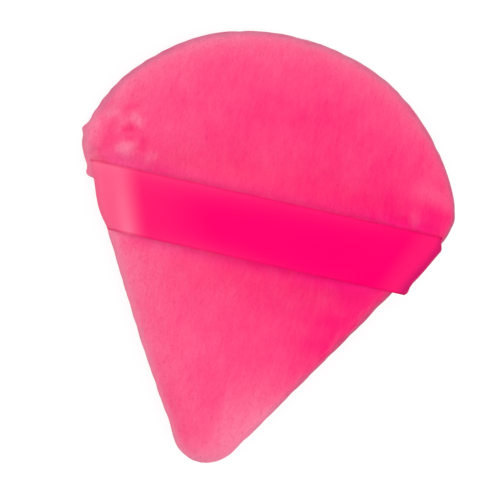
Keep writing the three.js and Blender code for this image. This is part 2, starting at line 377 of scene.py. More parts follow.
def ringGrid(lengths, inset, phis, low, high, draw):
    # Places of the skin: one row for each angle from the rim up to the crown
    sizes = coverSizes
    place, out = alongOutline(lengths)
    phi = np.asarray(phis, float)[:, None]
    share = 1 - np.cos(phi) ** (2 / sizes["crownPower"])
    height = low + (high - low) * np.sin(phi)
    drawn = draw * np.maximum(0, 1 - height / sizes["drawnHeight"]) ** 2
    rim = 2 * share * (1 - share) * sizes["rimShare"] * (outlineSizes["tipRadius"] - inset)
    centre = [0, outlineSizes["length"] * sizes["crownCentre"]]
    grid = np.empty((len(phi), len(lengths), 3))
    for axis in (0, 1):
        base = (place[None, :, axis] - out[None, :, axis] * (inset + drawn)) * (1 - share**2)
        grid[..., axis] = base - out[None, :, axis] * rim + centre[axis] * share**2
    grid[..., 2] = height
    return grid


def gridNormals(grid):
    around = np.roll(grid, -1, axis=1) - np.roll(grid, 1, axis=1)
    normal = np.cross(around, np.gradient(grid, axis=0))
    return normal / np.maximum(np.linalg.norm(normal, axis=-1, keepdims=True), tiny)


def skinAngles(rings, first=0.0):
    return np.linspace(first, math.pi / 2, rings + 1)[:-1]


def crownMiddle(height):
    # The point that closes the rings
    return np.array([[0, outlineSizes["length"] * coverSizes["crownCentre"], height]])


def outerAngles():
    # Even steps up the side, then the rings that close the flat middle
    side = skinAngles(coverSizes["outerRings"])
    last = 1 - math.cos(side[-1]) ** (2 / coverSizes["crownPower"])
    shares = np.linspace(last, 1, coverSizes["crownRings"] + 2)[1:-1]
    return np.concatenate([side, np.arccos((1 - shares) ** (coverSizes["crownPower"] / 2))])


def settleCloth(seed):
    # How far the cloth, held at the seam and pushed out by the foam, moves along its normals
    sizes = clothSizes
    lengths = np.linspace(0, outline["total"], sizes["around"], endpoint=False)
    grid = ringGrid(lengths, 0, skinAngles(sizes["rings"]), 0, crownZ, 0)
    uneven = noiseField(grid[1:], sizes["unevenSize"], seed)[..., None]
    grid[1:] += gridNormals(grid)[1:] * uneven * sizes["unevenness"]
    rings = [crownMiddle(crownZ), *grid[::-1], crownMiddle(0)]
    cloth = meshFromRings("cloth", rings, mm * sizes["enlarge"])
    held = cloth.vertex_groups.new(name="held")
    rim = 1 + (sizes["rings"] - 1) * sizes["around"]
    held.add(list(range(rim)), sizes["grip"], "REPLACE")
    held.add(list(range(rim, len(cloth.data.vertices))), 1.0, "REPLACE")
    modifier = cloth.modifiers.new("cloth", "CLOTH")
    settings = modifier.settings
    settings.quality = sizes["quality"]
    settings.mass = sizes["mass"]
    settings.tension_stiffness = settings.compression_stiffness = sizes["stiffness"]
    settings.bending_stiffness = sizes["bending"]
    settings.use_pressure = True
    settings.uniform_pressure_force = sizes["pressure"]
    settings.shrink_min = -sizes["extra"]
    settings.vertex_group_mass = "held"
    settings.effector_weights.gravity = 0
    for step in range(1, sizes["frames"] + 1):
        bpy.context.scene.frame_set(step)
    bpy.context.view_layer.objects.active = cloth
    bpy.ops.object.modifier_apply(modifier="cloth")
    bpy.context.scene.frame_set(1)
    places = np.empty(len(cloth.data.vertices) * 3)
    cloth.data.vertices.foreach_get("co", places)
    settled = places[3:-3].reshape(sizes["rings"], sizes["around"], 3)[::-1]
    bpy.data.objects.remove(cloth)
    moved = settled / (mm * sizes["enlarge"]) - grid
    out = np.sum(moved * gridNormals(grid), axis=-1)
    free = smoothStep(np.arange(sizes["rings"]) / sizes["seamRings"])[:, None]
    return sizes["furthest"] * np.tanh(out / sizes["furthest"]) * free


def resample(field, rings, around):
    # A coarse field of the skin at the fine grid's places, by cubic steps
    def weights(at, count, wrap):
        base = np.floor(at).astype(int)
        t = at - base
        picks = base[:, None] + np.arange(-1, 3)
        picks = picks % count if wrap else np.clip(picks, 0, count - 1)
        parts = np.stack([-t + 2 * t**2 - t**3, 2 - 5 * t**2 + 3 * t**3,
                          t + 4 * t**2 - 3 * t**3, t**3 - t**2], axis=-1) / 2
        return picks, parts

    rows, columns = field.shape
    picks, parts = weights(np.arange(rings) * rows / rings, rows, False)
    field = np.einsum("ikc,ik->ic", field[picks], parts)
    picks, parts = weights(np.arange(around) * columns / around, columns, True)
    return np.einsum("rik,ik->ri", field[:, picks], parts)


def foldHeights(points):
    # How far the listed hollows and ridges stand in or out
    total = np.zeros(points.shape[:-1])
    for start, end, width, height in coverFolds:
        start, end = np.array(start), np.array(end)
        line = end - start
        share = np.clip(((points[..., :2] - start) @ line) / (line @ line), 0, 1)
        away = np.linalg.norm(points[..., :2] - (start + share[..., None] * line), axis=-1)
        total += height * np.exp(-((away / width) ** 2))
    return total


def foldedIn(grid, phi):
    # The folds fade out at the seam
    return foldHeights(grid) * np.sin(np.minimum(phi * 2, math.pi / 2))


def dented(grid, phis):
    # An inner wall of the upper side, pressed in with the skin above it
    depth = np.minimum(foldedIn(grid, np.asarray(phis)[:, None]), 0)
    return grid + gridNormals(grid) * depth[..., None]


def underRibbon(y):
    # 1 where the ribbon lies over the cover, so that nothing stands up into it
    line, fade = ribbonLine, ribbonLine["flatFade"]
    return smoothStep((line["flatTo"] - y) / fade) * smoothStep((y - line["flatFrom"]) / fade)


def closingWindow(lengths):
    # 1 along the gap that is closed by hand
    run = closingSizes["to"] - closingSizes["from"]
    into = (np.mod(lengths, outline["total"]) - closingSizes["from"]) / run
    fade = closingSizes["puckerFade"]
    return smoothStep(into * fade) * smoothStep((1 - into) * fade)


def archUp(phi, arch):
    # A rise and fall up the side from the seam
    steep, fade = arch
    return np.sin(np.clip(phi * steep, 0, math.pi)) * np.exp(-phi * fade)


def skinRelief(grid, lengths, phis, upper, seed):
    # How far the velour stands in or out: lumps, gathers at the seam, the closing's puckers
    sizes = coverSizes
    phi = np.asarray(phis)[:, None]
    free = np.sin(phi) ** sizes["lumpFade"]
    relief = sizes["lump"] * noiseField(grid, sizes["lumpSize"], seed) * free
    relief += sizes["smallLump"] * noiseField(grid, sizes["smallLumpSize"], seed + 1) * free
    flat = np.zeros_like(lengths)
    seamPlaces = np.stack([lengths / sizes["unevenSize"], flat, flat], axis=-1)
    uneven = noiseField(seamPlaces, 1.0, seed + 2)
    phase = 2 * math.pi * lengths / sizes["gatherPitch"] + sizes["gatherUneven"] * uneven
    gathers = (np.cos(phase) * (0.5 + uneven))[None, :]
    relief += sizes["gather"] * archUp(phi, sizes["gatherArch"]) * gathers
    closing = closingSizes
    phase = 2 * math.pi * (lengths - closing["from"]) / closing["pitch"]
    puckers = (closingWindow(lengths) * np.cos(phase + closing["puckerUneven"] * uneven))[None, :]
    relief += closing["pucker"] * archUp(phi, closing["puckerArch"]) * puckers
    if upper:
        relief += foldedIn(grid, phi)
        relief -= np.maximum(relief, 0) * underRibbon(grid[..., 1])
    return relief


# How pale the pile is, from deep pink at 0 to pale pink at 1, partly its own uneven tone and
# partly painted light and shade; lengths in millimetres
paleSizes = {
    "base": 0.2,
    "tip": (0.1, 0.0, 20.0),  # more towards the tip: how much, from where and over what length
    "roundEdge": (0.03, 12.0, 6.0),  # and towards the round edge
    "across": 0.0045,  # less for each millimetre to the right: painted light from the left, with some uneven tone of the nap
    "acrossLow": 0.0085,  # and so much more below the ribbon
    "lowFrom": 12.0,
    "lowLength": 20.0,
    "rightShare": 0.5,  # on the right only this share of it
    "above": (0.04, -6.0, 8.0),  # painted shade above the ribbon, from the left to the right
    "aboveAt": (12.0, 2.0),
    "below": (0.22, -8.0, 10.0),  # and painted shade below it
    "belowLeast": 0.05,
    "belowFrom": -0.4,  # the painted shade is deepest between these two places
    "belowTo": -2.1,
    "blotches": [(0.1, 9.0, 11), (0.08, 3.0, 12)],  # how much, size and seed
    "band": 3.3,  # how far the painted sheen of the rim reaches in
    # how strong the painted rim sheen is on the upper and the lower cover
    "rimUpper": 1.1,
    "rimLower": 0.6,
    # painted light on ridges and painted shade in hollows
    "ridge": 0.9,
    "hollow": 0.4,
    "most": 1.2,
}

# Painted highlights, painted shade and paler or deeper pile: middle, half widths and how much
toneAndPaintedLightSpots = [
    ((4, -34), (4.5, 6), 0.34),
    ((31, 13), (4, 3.5), -0.07),
    ((18, 28), (7, 7), -0.04),
    ((-15, 12), (7, 2.5), 0.08),
    ((-9, -21), (5, 7), 0.06),
    ((24.5, -3), (3, 2.6), -0.3),
    ((16, -7), (5, 3.6), 0.09),
]

# How much painted sheen lies beside the rim, paler where the light falls and deeper (painted
# shade) where it doesn't, by the direction from the puff's middle in degrees
paintedRimSheen = {
    0: 0.0, 12: 0.0, 22: 0.05, 32: 0.2, 50: 0.45, 70: 0.55, 90: 0.58, 110: 0.68, 130: 0.48,
    160: 0.55, 180: 0.55, 200: 0.3, 220: 0.25, 240: 0.15, 254: 0.0, 262: 0.08, 270: 0.6,
    280: 0.7, 290: 0.5, 302: 0.05, 315: -0.1, 330: -0.3, 345: -0.2,
}

# Painted shade in the crease beside the seam, and painted light that makes it paler there, by the
# same directions
paintedCreaseShade = {
    0: 0.75, 12: 0.8, 20: 0.85, 30: 0.57, 45: 0.45, 60: 0.4, 75: 0.34, 90: 0.33, 105: 0.38,
    118: 0.45, 130: 0.5, 140: 0.48, 150: 0.3, 158: 0.1, 170: 0.0, 270: 0.0, 282: 0.2,
    292: 0.45, 305: 0.6, 320: 0.7, 345: 0.72,
}
paintedCreaseLight = {
    0: 0.0, 100: 0.0, 120: -0.08, 140: -0.08, 148: 0.0, 158: 0.3, 166: 0.5, 190: 0.32,
    205: 0.24, 225: 0.22, 235: 0.28, 250: 0.28, 265: 0.46, 280: 0.46, 290: 0.15, 305: 0.08,
    312: 0.12, 325: 0.05, 335: -0.05, 350: -0.08,
}
creaseTop = 4.9  # how high above the seam the crease's painted shade and light end
creaseFade = 1.9


def ramp(value, amounts):
    # Up to this much, from a place on and over a length
    amount, start, length = amounts
    return amount * smoothStep((value - start) / length)


def hump(value, middle, half):
    return np.exp(-(((value - middle) / half) ** 2) / 2)


def atPlaces(grid, table):
    return listedAt(bearingOf(grid[..., 0], grid[..., 1]), table)


def paintedCreaseBand(grid):
    # 1 beside the seam, where the crease's painted shade and light lie, fading out up the side
    return smoothStep((creaseTop - grid[..., 2]) / creaseFade)


def paleToneAndPaintedLight(grid, upper):
    # The pile's pale tone with painted light and shade: paler to the left as painted light from
    # the left, paler at the tip, paler over the rim as painted sheen, deeper beside the ribbon and
    # in hollows as painted shade
    sizes = paleSizes
    x, y = grid[..., 0], grid[..., 1]
    pale = sizes["base"] + ramp(-y, sizes["tip"]) + ramp(y, sizes["roundEdge"])
    low = smoothStep((sizes["lowFrom"] - y) / sizes["lowLength"])
    low *= np.where(x > 0, sizes["rightShare"], 1)
    # painted light falling from the left, so deeper to the right
    pale -= (sizes["across"] + sizes["acrossLow"] * low) * x
    for (atX, atY), (halfX, halfY), amount in toneAndPaintedLightSpots:
        pale += amount * hump(x, atX, halfX) * hump(y, atY, halfY)
    # painted shade above and below the ribbon, where it stands over the cover
    pale -= ramp(x, sizes["above"]) * hump(y, *sizes["aboveAt"])
    below = smoothStep(sizes["belowFrom"] - y) * np.exp(-np.maximum(sizes["belowTo"] - y, 0))
    pale -= (sizes["belowLeast"] + ramp(x, sizes["below"])) * below
    for amount, size, seed in sizes["blotches"]:
        pale += amount * noiseField(grid, size, seed)
    # painted sheen over the rim
    inside = np.linalg.norm(grid[..., :2] - grid[:1, :, :2], axis=-1)
    rim = atPlaces(grid, paintedRimSheen) * np.exp(-inside / sizes["band"])
    pale += rim * (sizes["rimUpper"] if upper else sizes["rimLower"])
    # painted light in the crease on the lit side
    pale += atPlaces(grid, paintedCreaseLight) * paintedCreaseBand(grid)
    # painted light on the ridges and painted shade in the hollows of the folds
    if upper:
        folds = foldHeights(grid)
        pale += np.where(folds > 0, sizes["ridge"], sizes["hollow"]) * folds
    return np.clip(pale, 0, sizes["most"])


def paintedShadeBesideRibbon(grid):
    # Painted shade tint: 1 along the ribbon's edges on top, fading out under it, beside it and
    # down the sides
    line = ribbonLine
    middle = line["middle"] + line["slope"] * grid[..., 0]
    away = np.abs(grid[..., 1] - middle) - line["width"] / 2
    reach = np.where(away > 0, line["reach"], line["reachUnder"])
    high = smoothStep(grid[..., 2] / line["shadeTintHeight"] - 1)
    return np.exp(-((away / reach) ** 2)) * high


def addSkinAttribute(piece, name, field, crown=0.0):
    # Values of the outer skin, from the crown down; the walls inside have none
    values = np.zeros(len(piece.data.vertices))
    values[0] = crown
    values[1:1 + field.size] = field[::-1].ravel()
    addAttribute(piece, name, values)


def coverPiece(name, upper, seed, clothSeed):
    sizes = coverSizes
    lengths = np.linspace(0, outline["total"], sizes["around"], endpoint=False)
    bottom = sizes["foldGap"] / 2
    top = bottom + sizes["allowanceThickness"]
    phis = outerAngles()
    outer = ringGrid(lengths, 0, phis, bottom, crownZ, sizes["seamDraw"])
    relief = skinRelief(outer, lengths, phis, upper, seed)
    settled = resample(settleCloth(clothSeed), sizes["outerRings"], sizes["around"])
    fade = np.linspace(1, 0, sizes["crownRings"] + 2)[1:-1, None]
    relief += np.concatenate([settled, settled[-1:] * fade])
    outer += gridNormals(outer) * relief[..., None]
    pale = paleToneAndPaintedLight(outer, upper)
    outer[..., 2] = np.maximum(outer[..., 2], bottom)
    phis = skinAngles(sizes["innerRings"])
    inner = ringGrid(lengths, sizes["velour"], phis, top, crownZ - sizes["velour"], 0)
    if upper:
        inner = dented(inner, phis)
    fold = ringGrid(lengths, sizes["allowanceDepth"], [0], bottom, bottom, 0)
    back = fold + np.array([0, 0, sizes["allowanceThickness"]])
    rings = [crownMiddle(outer[-1, :, 2].mean()), *outer[::-1], fold[0], back[0], *inner]
    rings.append(crownMiddle(crownZ - sizes["velour"]))
    if not upper:
        rings = [ring * np.array([1, 1, -1]) for ring in rings]
        for ring in rings:
            ring[:, 2] = np.maximum(ring[:, 2], floorZ)
    piece = meshFromRings(name, fromSeam(rings))
    addSkinAttribute(piece, "pale", pale, pale[-1].mean())
    # painted shade tint beside the ribbon
    addSkinAttribute(piece, "painted_shade_beside_ribbon", paintedShadeBesideRibbon(outer) * upper)
    # painted shade in the seam's crease
    addSkinAttribute(piece, "crease", atPlaces(outer, paintedCreaseShade) * paintedCreaseBand(outer))
    return piece


upperVelour = coverPiece("upper_velour", True, seed=1, clothSeed=20)
lowerVelour = coverPiece("lower_velour", False, seed=4, clothSeed=40)
print("covers ready")

# The foam inside, a little smaller than the covers
foamSizes = {"gap": 0.3, "low": 1.0, "waist": 2.0, "rings": 16, "around": 160}


def foamPiece():
    lengths = np.linspace(0, outline["total"], foamSizes["around"], endpoint=False)
    inset = coverSizes["velour"] + foamSizes["gap"]
    top = crownZ - inset
    first = math.asin((foamSizes["waist"] - foamSizes["low"]) / (top - foamSizes["low"]))
    phis = skinAngles(foamSizes["rings"], first)
    skin = ringGrid(lengths, inset, phis, foamSizes["low"], top, 0)
    waist = ringGrid(lengths, coverSizes["allowanceDepth"] + foamSizes["gap"], [0],
                     foamSizes["waist"], foamSizes["waist"], 0)
    rings = [crownMiddle(top), *dented(skin, phis)[::-1], waist[0]]
    rings += [ring * np.array([1, 1, -1]) for ring in (waist[0], *skin, crownMiddle(top))]
    return meshFromRings("foam", fromSeam(rings))


foamCore = foamPiece()

# The satin ribbon, in millimetres
ribbonSizes = {
    "width": ribbonLine["width"],
    "middle": ribbonLine["middle"],
    "slope": ribbonLine["slope"],  # how far it is sewn askew
    "thickness": 0.26,
    "tab": 4.0,
    "tabShare": 0.6,  # how far along the tab its path is listed again
    "leaves": (-0.6, -0.2),  # how far in it leaves the seam, at least and from its stand
    "columns": 29,
    "perKey": 12,
    "under": 12.55,  # middle of the arch above the seam
    "archPower": 2.6,
    "archShares": (0.8, 0.6, 0.4, 0.2),
    "keyShift": 0.7,  # its ends are listed this much further up the outline
    "ripples": [(0.2, 9.0, 7), (0.03, 3.2, 8)],  # how high, size and seed
    "curl": 0.15,
    "curlPower": 4,
    "freeFrom": 1.0,  # from this height on it ripples and curls
    "freeLength": 3.0,
    "selvedge": 0.07,
    "selvedgeFrom": 0.9,  # the share of its half width where the selvedge starts
    "selvedgeLength": 0.06,
    # How far each end stands out of the outline, from the lower edge at 0 to the upper at 1
    "rightStand": [(0, 2.3), (0.05, 2.5), (0.1, 2.2), (0.15, 2.0), (0.22, 1.87), (0.3, 1.9),
                   (0.45, 1.8), (0.63, 1.62), (0.8, 1.5), (0.86, 1.0), (0.93, 0.4), (1, 0.1)],
    "leftStand": [(0, -0.6), (0.06, -0.4), (0.2, -0.17), (0.32, -0.17), (0.48, -0.4),
                  (0.61, -0.75), (0.72, -1.0), (0.88, -1.2), (1, -1.4)],
    # The path up each side: a share of the stand, a share of the crease, how far out, height
    "rightKeys": [(0.75, 0, 0, 1.5), (1, 0, 0, 3.2), (0.62, 0, -0.35, 5.1),
                  (0, 0, -2.2, 6.8), (0, 0, -5.6, 8.15)],
    "leftKeys": [(1, 0, 0, 1.2), (1, 0, 0.1, 2.8), (1, 0, -0.7, 4.9),
                 (0, -1, 0.9, 7.0), (0, -1, -1.7, 8.3)],
    "crease": (3.4, 2.4),  # how far in it bends at the left end, and how much further above
}


def ribbonKeys(y, side, across):
    # One thread's path from the seam to the middle, as places out of the outline and heights
    sizes = ribbonSizes
    end = "right" if side > 0 else "left"
    stand = float(np.interp(across, *zip(*sizes[end + "Stand"])))
    crease = sizes["crease"][0] + sizes["crease"][1] * across
    keys = [(ofStand * stand + ofCrease * crease + out, height)
            for ofStand, ofCrease, out, height in sizes[end + "Keys"]]
    tab = sizes["tab"]
    least, fromStand = sizes["leaves"]
    seam = [(-tab, 0), (-sizes["tabShare"] * tab, 0), (min(least, stand + fromStand), 0)]
    slant = math.cos(outlineSizes["sideAngle"])
    half = halfWidthAt(y)
    points = [(half + out / slant, height) for out, height in seam + keys]
    start, height = points[-1]
    rise = sizes["under"] - height
    for share in sizes["archShares"]:
        points.append((share * start, sizes["under"] - rise * share ** sizes["archPower"]))
    return [(side * x, z) for x, z in points]


def smoothPath(keys, steps):
    keys = np.array(keys)
    padded = np.concatenate([[2 * keys[0] - keys[1]], keys, [2 * keys[-1] - keys[-2]]])
    places = []
    for a, b, c, d in zip(padded, padded[1:], padded[2:], padded[3:]):
        for t in np.arange(steps) / steps:
            places.append(0.5 * (2 * b + (c - a) * t + (2 * a - 5 * b + 4 * c - d) * t**2
                                 + (3 * b - a - 3 * c + d) * t**3))
    places.append(keys[-1])
    return np.array(places)


def ribbonGrid():
    # The ribbon's middle surface: one row for each lengthwise thread
    sizes = ribbonSizes
    rows = []
    for across in np.linspace(0, 1, sizes["columns"]):
        y = sizes["middle"] + sizes["keyShift"] + sizes["width"] * (across - 0.5)
        keys = ribbonKeys(y, 1, across) + [(0.0, sizes["under"])] + ribbonKeys(y, -1, across)[::-1]
        path = smoothPath(keys, sizes["perKey"])
        rows.append(np.stack([path[:, 0], np.full(len(path), y), path[:, 1]], axis=-1))
    grid = np.array(rows)
    grid[..., 1] += sizes["slope"] * grid[..., 0] - sizes["keyShift"]
    return grid


# Painted sheen, highlight and shade on the satin, from deep pink at 0 to its palest at 1; lengths
# in millimetres
satinTones = {
    # Where it turns down at each end: place at the lower edge, and how much further above
    "leftTurn": (21.1, 4.7),
    "rightTurn": (22.5, 5.0),
    # How much painted sheen there, from how far past the turn and over what length
    "leftPaintedSheen": [(0.8, -2.4, 5.0), (0.1, -16.0, 15.0)],
    "rightPaintedSheen": [(0.085, 0.0, 4.5)],
    # Painted light along its upper and lower edges, by place along the puff, and how far in
    "upperPale": {-33: 0.3, -11: 0.29, -7: 0.21, 0: 0.145, 4: 0.125, 18: 0.09, 26: 0.04, 34: 0.0},
    "lowerPale": {-22: 0.06, -16: 0.12, -10: 0.18, 4: 0.05, 16: 0.02, 20: 0.0},
    "upperReach": 1.5,
    "lowerReach": 1.2,
    "endHeight": 6.1,  # below this its ends get painted shade on the right and painted light on the left
    "endFade": 1.7,
    "leftEnd": 0.2,
    "share": 0.7,
    "paintedGlint": (0.36, 1.9, 1.4),  # a painted glint: how much, how far past the left turn and how wide
}


def satinPaintedLight(grid, share):
    # Painted sheen and glint on the satin, and painted shade, with its lower edge at 0 and its
    # upper edge at 1
    tones = satinTones
    x = grid[..., 0]
    left = -x - (tones["leftTurn"][0] + tones["leftTurn"][1] * share)
    right = x - (tones["rightTurn"][0] + tones["rightTurn"][1] * share)
    pale = sum(ramp(left, amounts) for amounts in tones["leftPaintedSheen"])
    pale += sum(ramp(right, amounts) for amounts in tones["rightPaintedSheen"])
    for side, depth in (("upper", 1 - share), ("lower", share)):
        listed = tones[side + "Pale"]
        amount = np.interp(x, list(listed), list(listed.values()))
        pale += amount * np.exp(-depth * ribbonSizes["width"] / tones[side + "Reach"])
    lowDown = smoothStep((tones["endHeight"] - grid[..., 2]) / tones["endFade"])
    # painted light on the ribbon's left end
    pale += tones["leftEnd"] * lowDown * (x < 0)
    paintedGlint, place, width = tones["paintedGlint"]
    pale = tones["share"] * pale + paintedGlint * (1 - share) * np.exp(-(((left - place) / width) ** 2))
    return pale, lowDown * (x > 0)


def ribbonPiece():
    sizes = ribbonSizes
    grid = ribbonGrid()
    along = np.gradient(grid, axis=1)
    normal = np.stack([along[..., 2], np.zeros(grid.shape[:2]), -along[..., 0]], axis=-1)
    normal /= np.linalg.norm(normal, axis=-1, keepdims=True)
    edge = np.abs(np.linspace(-1, 1, sizes["columns"]))[:, None]
    free = smoothStep((grid[..., 2] - sizes["freeFrom"]) / sizes["freeLength"])
    ripple = sum(noiseField(grid, size, seed) * height for height, size, seed in sizes["ripples"])
    grid += normal * ((ripple - sizes["curl"] * edge ** sizes["curlPower"]) * free)[..., None]
    selvedge = smoothStep((edge - sizes["selvedgeFrom"]) / sizes["selvedgeLength"])
    thick = (sizes["thickness"] / 2 + sizes["selvedge"] * selvedge)[..., None]
    top, under = grid + normal * thick, grid - normal * thick
    steps = np.linalg.norm(np.diff(grid, axis=1, prepend=grid[:, :1]), axis=-1)
    run = np.cumsum(steps, axis=1)
    length = float(run[:, -1].mean())
    run -= run[:, -1:] / 2
    share = np.linspace(0, 1, sizes["columns"])[:, None]
    across = (share - 0.5) * sizes["width"] + np.zeros_like(run)

    def loops(below, above):
        # Rings round the ribbon from end to end, each end closed by its middle
        rings = [np.concatenate([below[:, index], above[::-1, index]])
                 for index in range(grid.shape[1])]
        first, last = [rings[end].mean(axis=0, keepdims=True) for end in (0, -1)]
        return [first, *rings, last]

    piece = meshFromRings("satin_ribbon", fromSeam(loops(under, top)))
    pale, shaded = satinPaintedLight(grid, share)
    for name, field in (("ribbon_along", run), ("ribbon_across", across),
                        ("ribbon_painted_sheen", pale), ("ribbon_shaded", shaded)):
        addAttribute(piece, name, np.concatenate(loops(field, field)))
    return piece, length


satinRibbon, ribbonLength = ribbonPiece()
print("ribbon ready, its cut length in mm:", round(ribbonLength, 1))


def closingStitches():
    # The thread that closes the gap by hand: slanted stitches over both folds, sunk in the pile
    sizes = closingSizes
    run = sizes["to"] - sizes["from"]
    stitches = int((run - 2 * sizes["margin"]) // sizes["pitch"])
    points = []
    for index in range(stitches * sizes["stepsPerStitch"] + 1):
        turn = index / sizes["stepsPerStitch"]
        along = sizes["from"] + sizes["margin"] + turn * sizes["pitch"]
        place, out = alongOutline(np.array([along]))
        angle = 2 * math.pi * turn
        depth = sizes["proud"] - coverSizes["seamDraw"] - sizes["bite"] * (1 - math.cos(angle))
        height = sizes["height"] * math.sin(angle)
        if math.cos(angle) <= sizes["inside"]:
            height *= sizes["insideShare"]
        points.append([*(place[0] + out[0] * depth), height])
    points = np.array(points)
    ahead = np.gradient(points, axis=0)
    ahead /= np.linalg.norm(ahead, axis=1, keepdims=True)
    side = np.cross(ahead, [0, 0, 1.0])
    side /= np.maximum(np.linalg.norm(side, axis=1, keepdims=True), tiny)
    lift = np.cross(side, ahead)
    around = np.linspace(0, 2 * math.pi, sizes["threadSides"], endpoint=False)[:, None]
    radius = sizes["thread"] / 2
    rings = [points[:1]]
    for middle, across, up in zip(points, side, lift):
        rings.append(middle + (np.cos(around) * across + np.sin(around) * up) * radius)
    rings.append(points[-1:])
    return meshFromRings("closing_stitches", fromSeam(rings))


closingStitch = closingStitches()
print("stitches ready")


class Wire:
    # A socket that takes part in sums: each sum adds its Math node
    def __init__(self, paint, socket):
        self.paint = paint
        self.socket = socket

    def sum(self, operation, first, second):
        return self.paint.node("ShaderNodeMath", {"operation": operation}, {0: first, 1: second})

    def __add__(self, other):
        return self.sum("ADD", self, other)

    def __radd__(self, other):
        return self.sum("ADD", other, self)

    def __sub__(self, other):
        return self.sum("SUBTRACT", self, other)

    def __mul__(self, other):
        return self.sum("MULTIPLY", self, other)

    def __rmul__(self, other):
        return self.sum("MULTIPLY", other, self)


class Paint:
    # One material, or the world, and its nodes
    def __init__(self, name, world=None):
        self.material = world or bpy.data.materials.new(name)
        self.material.use_nodes = True
        self.nodes = self.material.node_tree.nodes
        self.links = self.material.node_tree.links
        self.nodes.clear()

    def node(self, kind, settings, sockets, output=0):
        made = self.nodes.new(kind)
        for key, value in settings.items():
            setattr(made, key, value)
        for key, value in sockets.items():
            socket = made.inputs[key]
            if isinstance(value, Wire):
                self.links.new(value.socket, socket)
            else:
                socket.default_value = value
        return Wire(self, made.outputs[output]) if made.outputs else None

    def place(self):
        return self.node("ShaderNodeTexCoord", {}, {}, "Object")

    def noise(self, scale, detail, rough):
        scaled = self.node("ShaderNodeMapping", {}, {"Vector": self.place(), "Scale": scale})
        return self.node("ShaderNodeTexNoise", {}, {
            "Vector": scaled, "Scale": 1.0, "Detail": detail, "Roughness": rough})

    def attribute(self, name):
        return self.node("ShaderNodeAttribute", {"attribute_name": name}, {}, "Fac")

    def wave(self, value):
        return self.node("ShaderNodeMath", {"operation": "SINE"}, {0: value})

    def band(self, value, low, high):
        return self.node("ShaderNodeMapRange", {"interpolation_type": "SMOOTHSTEP"}, {
            "Value": value, "From Min": low, "From Max": high})

    def total(self, layers, shares):
        # The layers added up, each by its share
        parts = [layers[name] * share for name, share in shares.items()]
        result = parts[0]
        for part in parts[1:]:
            result = result + part
        return result

    def mix(self, factor, first, second, kind="MIX"):
        # A Mix node takes its colours at 6 and 7 and gives its own at 2
        return self.node("ShaderNodeMix", {"data_type": "RGBA", "blend_type": kind}, {
            0: factor, 6: first, 7: second}, 2)

    def seen(self):
        # 1 for what the camera sees, straight or in gloss or glass, and 0 for light
        path = [self.node("ShaderNodeLightPath", {}, {}, kind) for kind in (
            "Is Camera Ray", "Is Glossy Ray", "Is Transmission Ray")]
        return path[0] + path[1] + path[2]

    def bump(self, height, distance, strength):
        return self.node("ShaderNodeBump", {}, {
            "Height": height, "Distance": distance, "Strength": strength})

    def finish(self, sockets):
        shader = self.node("ShaderNodeBsdfPrincipled", {}, sockets)
        self.node("ShaderNodeOutputMaterial", {}, {"Surface": shader})
        return self.material


def pictured(red, green, blue):
    # A colour as a picture shows it, made linear for the shader
    def one(value):
        value /= 255
        return value / 12.92 if value <= 0.04045 else ((value + 0.055) / 1.055) ** 2.4
    return (one(red), one(green), one(blue), 1)


# Layers of noise: features per metre along each axis, detail and roughness
velourFinish = {
    "deep": pictured(254, 12, 112),
    "pale": pictured(254, 120, 157),
    "pits": pictured(206, 22, 94),
    # blue added as a painted shade tint beside the ribbon
    "paintedShadeBlue": (0, 0, 0.082, 1),
    # multiplied in as painted shade in the seam's crease
    "crease": (0.47, 0.56, 0.68, 1),
    "layers": {
        "brushed": ((1900, 520, 1900), 3, 0.6),
        "nap": ((3600, 1500, 3600), 3, 0.6),
        "pile": ((6500, 5200, 6500), 2, 0.5),
        "streaks": ((950, 260, 950), 2, 0.5),
    },
    # How much each layer counts for the tone, for the pits and for the height
    "toneShares": {"streaks": 0.5, "brushed": 0.45, "nap": 0.3, "pile": 0.2},
    "pitShares": {"nap": 0.5, "pile": 0.5},
    "heightShares": {"nap": 0.6, "pile": 0.5, "brushed": 0.4, "streaks": 0.5},
    "toneMiddle": 0.725,
    "mottle": (0.2, 0.65),  # how strong it is, and how much more on pale pile
    "pitBand": (0.5, 0.3),
    "pitStrength": (0.22, 0.34),
    "relief": 0.22 * mm,
    "bump": 0.7,
    "shine": 0.05,
    "sheen": 0.45,
    "sheenRough": 0.5,
    "sheenTint": (1, 0.7, 0.8, 1),
}


def velourMaterial():
    finish = velourFinish
    paint = Paint("velour")
    pale = paint.attribute("pale")
    layers = {name: paint.noise(*grain) for name, grain in finish["layers"].items()}
    mottle = paint.total(layers, finish["toneShares"]) - finish["toneMiddle"]
    shade = pale + mottle * (finish["mottle"][0] + finish["mottle"][1] * pale)
    colour = paint.mix(shade, finish["deep"], finish["pale"])
    # painted shade tint beside the ribbon
    colour = paint.mix(paint.attribute("painted_shade_beside_ribbon"), colour, finish["paintedShadeBlue"], "ADD")
    pits = paint.band(paint.total(layers, finish["pitShares"]), *finish["pitBand"])
    depth = finish["pitStrength"][0] + finish["pitStrength"][1] * pale
    colour = paint.mix(pits * depth, colour, finish["pits"])
    # painted shade in the seam's crease
    colour = paint.mix(paint.attribute("crease"), colour, finish["crease"], "MULTIPLY")
    height = paint.total(layers, finish["heightShares"])
    return paint.finish({
        "Base Color": colour,
        "Roughness": 1.0,
        "Specular IOR Level": finish["shine"],
        "Sheen Weight": finish["sheen"],
        "Sheen Roughness": finish["sheenRough"],
        "Sheen Tint": finish["sheenTint"],
        "Normal": paint.bump(height, finish["relief"], finish["bump"]),
    })


